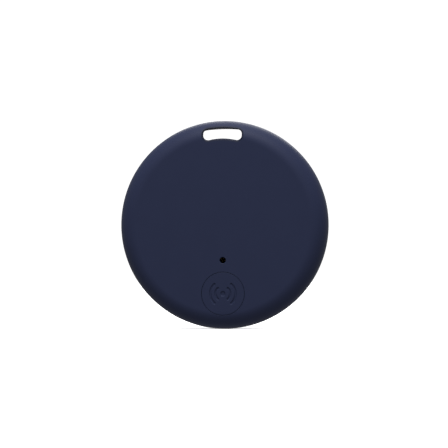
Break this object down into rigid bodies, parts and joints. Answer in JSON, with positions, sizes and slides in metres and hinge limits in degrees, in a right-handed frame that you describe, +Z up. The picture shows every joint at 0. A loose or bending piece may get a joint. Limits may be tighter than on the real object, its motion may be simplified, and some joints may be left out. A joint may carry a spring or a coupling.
{
  "type": "bluetooth tracker tag",
  "caption": "Round flat tracker tag with a lanyard slot, a push button, a sound hole and a bayonet battery door over a coin cell.",
  "frame": {"origin": "middle of the lanyard slot, half way through the thickness", "axes": "+X to the right seen from the front, +Y from the front face to the battery door along the disc's axis, +Z up towards the slot"},
  "size_m": [0.037, 0.008, 0.037],
  "materials": {
    "casing": "soft satin-matte moulded plastic, dark navy blue",
    "silicone": "matte moulded silicone rubber",
    "board": "glass-fibre circuit board under green solder mask",
    "black_moulding": "black heat-proof moulding",
    "ferrite": "dark grey ferrite",
    "steel": "stainless steel sheet with a fine brushed grain",
    "tinned_contact": "plated spring sheet",
    "brass": "thin rolled brass",
    "white_ceramic": "off-white fired ceramic",
    "tape": "black double-sided foam tape",
    "wire_red": "red insulated lead",
    "wire_black": "black insulated lead",
    "passive": "tan ceramic chip with tinned ends",
    "resistor": "black film chip with tinned ends",
    "cell_gasket": "moulded nylon gasket",
    "anode_metal": "soft dull metal",
    "separator": "white non-woven separator",
    "cathode": "pressed black pellet"
  },
  "bodies": {
    "case": {"front_shell": "casing", "back_shell": "casing", "circuit_board": "board", "switch_body": "black_moulding", "switch_cover": "steel", "switch_dome": "steel", "switch_terminal_1": "tinned_contact", "switch_terminal_2": "tinned_contact", "switch_terminal_3": "tinned_contact", "switch_terminal_4": "tinned_contact", "sound_mesh": "black_moulding", "piezo_tape": "tape", "piezo_plate": "brass", "piezo_ceramic": "white_ceramic", "piezo_wire_red": "wire_red", "piezo_wire_black": "wire_black", "bluetooth_chip": "black_moulding", "buzzer_driver": "black_moulding", "buzzer_coil": "ferrite", "main_crystal": "tinned_contact", "sleep_crystal": "tinned_contact", "chip_antenna": "white_ceramic", "antenna_coil": "passive", "capacitor_1": "passive", "capacitor_2": "passive", "capacitor_3": "passive", "capacitor_4": "passive", "capacitor_5": "passive", "capacitor_6": "passive", "resistor_1": "resistor", "resistor_2": "resistor", "resistor_3": "resistor", "resistor_4": "resistor", "cell_can": "steel", "cell_cap": "steel", "cell_gasket": "cell_gasket", "cell_anode": "anode_metal", "cell_separator": "separator", "cell_cathode": "cathode", "cell_holder": "black_moulding", "negative_contact": "tinned_contact", "positive_contact": "tinned_contact"},
    "button": {"button_cap": "casing", "button_pad": "silicone"},
    "plunger": {"switch_plunger": "black_moulding"},
    "seal": {"door_seal": "silicone"},
    "door": {"battery_door": "casing"}
  },
  "joints": [
    {"name": "button_press", "type": "slide", "parent": "case", "child": "button", "axis": [0, 1, 0], "range_m": [0, 0.0002], "stiffness_N_per_m": 800, "springref_m": -0.0003},
    {"name": "plunger_press", "type": "slide", "parent": "case", "child": "plunger", "axis": [0, 1, 0], "range_m": [0, 0.0002], "deforming": ["switch_dome"]},
    {"name": "door_lift", "type": "slide", "parent": "case", "child": "seal", "axis": [0, 1, 0], "range_m": [0, 0.0004]},
    {"name": "door_twist", "type": "hinge", "parent": "seal", "child": "door", "pos_m": [0, 0.004, -0.01622], "axis": [0, 1, 0], "range_deg": [0, 50]}
  ],
  "couplings": [
    {"joint": "plunger_press", "follows": "button_press", "ratio": 1},
    {"joint": "door_twist", "follows": "door_lift", "rad_per_m": 2181.7}
  ]
}
